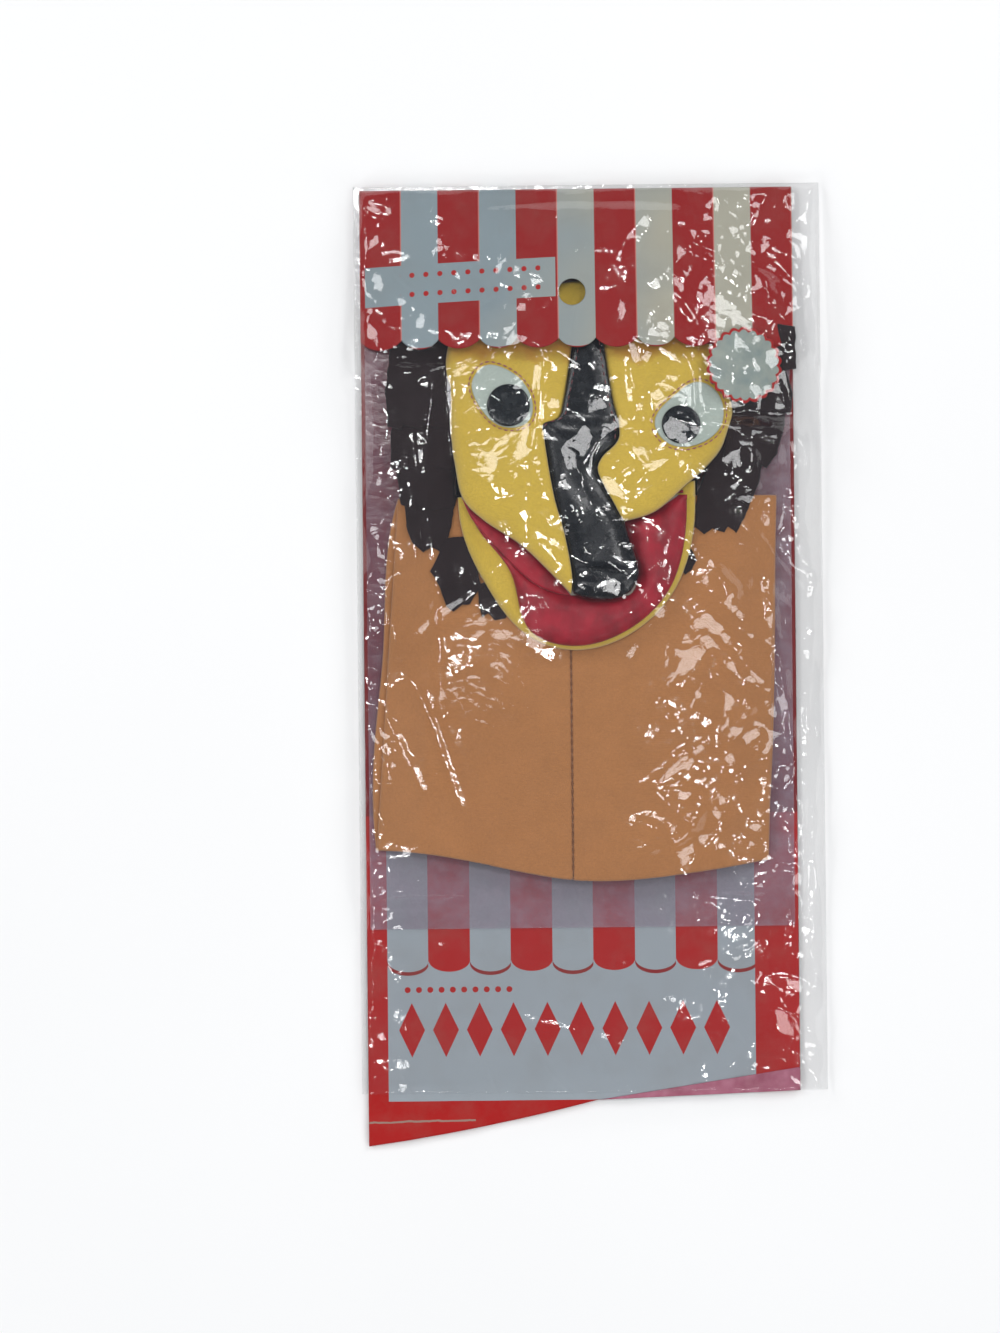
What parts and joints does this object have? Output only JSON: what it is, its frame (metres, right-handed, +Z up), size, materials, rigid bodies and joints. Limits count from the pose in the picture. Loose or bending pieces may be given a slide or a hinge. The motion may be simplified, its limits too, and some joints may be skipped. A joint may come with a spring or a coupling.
{
  "type": "hand puppet on display card",
  "caption": "Felt lion hand puppet with a hinged moving mouth, laid on a striped display card with a folded header, inside a clear slip-off bag.",
  "frame": {"origin": "on the surface that the pack lies on, under the middle of its outline", "axes": "+X to the right across the card, +Y towards the folded header, +Z up out of the puppet's face"},
  "size_m": [0.1402, 0.2888, 0.031],
  "materials": {
    "tan_felt": "brushed wool felt",
    "seam_thread": "cotton thread",
    "brown_felt": "brushed wool felt",
    "yellow_felt": "brushed wool felt",
    "black_vinyl": "creased gloss vinyl",
    "white_felt": "thin felt",
    "black_felt": "smooth",
    "red_satin": "satin",
    "grey_board": "plain",
    "printed_card": "printed, gloss",
    "hazy_film": "hazy film",
    "clear_film": "crinkled clear film"
  },
  "bodies": {
    "card": {"back_card": "printed_card", "header_fold": "printed_card", "turned_border": "printed_card", "liner_film": "hazy_film"},
    "header": {"header_flap": "printed_card", "roundel": "printed_card"},
    "puppet": {"body_back": "tan_felt", "body_front_left": "tan_felt", "body_front_right": "tan_felt", "centre_seam": "seam_thread", "head_back": "brown_felt", "head_gusset": "brown_felt", "face_left": "yellow_felt", "face_right": "yellow_felt", "nose_bridge": "black_vinyl", "eye_white_left": "white_felt", "eye_white_right": "white_felt", "pupil_left": "black_felt", "pupil_right": "black_felt", "mane_left_upper": "brown_felt", "mane_left_middle": "brown_felt", "mane_left_lower": "brown_felt", "mane_left_tuft": "brown_felt", "mane_chin_tuft": "brown_felt", "mane_right_upper": "brown_felt", "mane_right_middle": "brown_felt", "mane_right_lower": "brown_felt", "mane_right_tuft": "brown_felt", "mane_small_tuft": "brown_felt", "mane_crown": "brown_felt", "jaw_seam": "seam_thread", "mouth_fold": "red_satin"},
    "jaw": {"jaw_shell": "yellow_felt", "jaw_board": "grey_board", "mouth_lining": "red_satin"},
    "muzzle": {"palate_lining": "red_satin", "palate_board": "grey_board", "muzzle_rim": "yellow_felt", "muzzle_left": "yellow_felt", "muzzle_right": "yellow_felt", "nose_snout": "black_vinyl", "nose_tip": "black_vinyl"},
    "bag": {"bag_front": "clear_film", "bag_back": "clear_film", "bag_weld_left": "clear_film", "bag_weld_right": "clear_film", "bag_weld_top": "clear_film", "bag_lip": "clear_film"}
  },
  "joints": [
    {"name": "bag_slide", "type": "slide", "parent": "card", "child": "bag", "axis": [0, 1, 0], "range_m": [0, 0.3], "deforming": ["bag_front"]},
    {"name": "header_fold", "type": "hinge", "parent": "card", "child": "header", "pos_m": [0, 0.1425, 0.0013], "axis": [-1, 0, 0], "range_deg": [0, 4]},
    {"name": "puppet_slide", "type": "slide", "parent": "card", "child": "puppet", "axis": [0, -1, 0], "range_m": [0, 0.27]},
    {"name": "jaw_lift", "type": "hinge", "parent": "puppet", "child": "jaw", "pos_m": [0, 0.0514, 0.01], "axis": [-1, 0, 0], "range_deg": [0, 6]},
    {"name": "mouth_open", "type": "hinge", "parent": "puppet", "child": "muzzle", "pos_m": [0, 0.0514, 0.01215], "axis": [-1, 0, 0], "range_deg": [0, 20]}
  ],
  "couplings": [
    {"joint": "jaw_lift", "follows": "mouth_open", "ratio": 0.3}
  ]
}
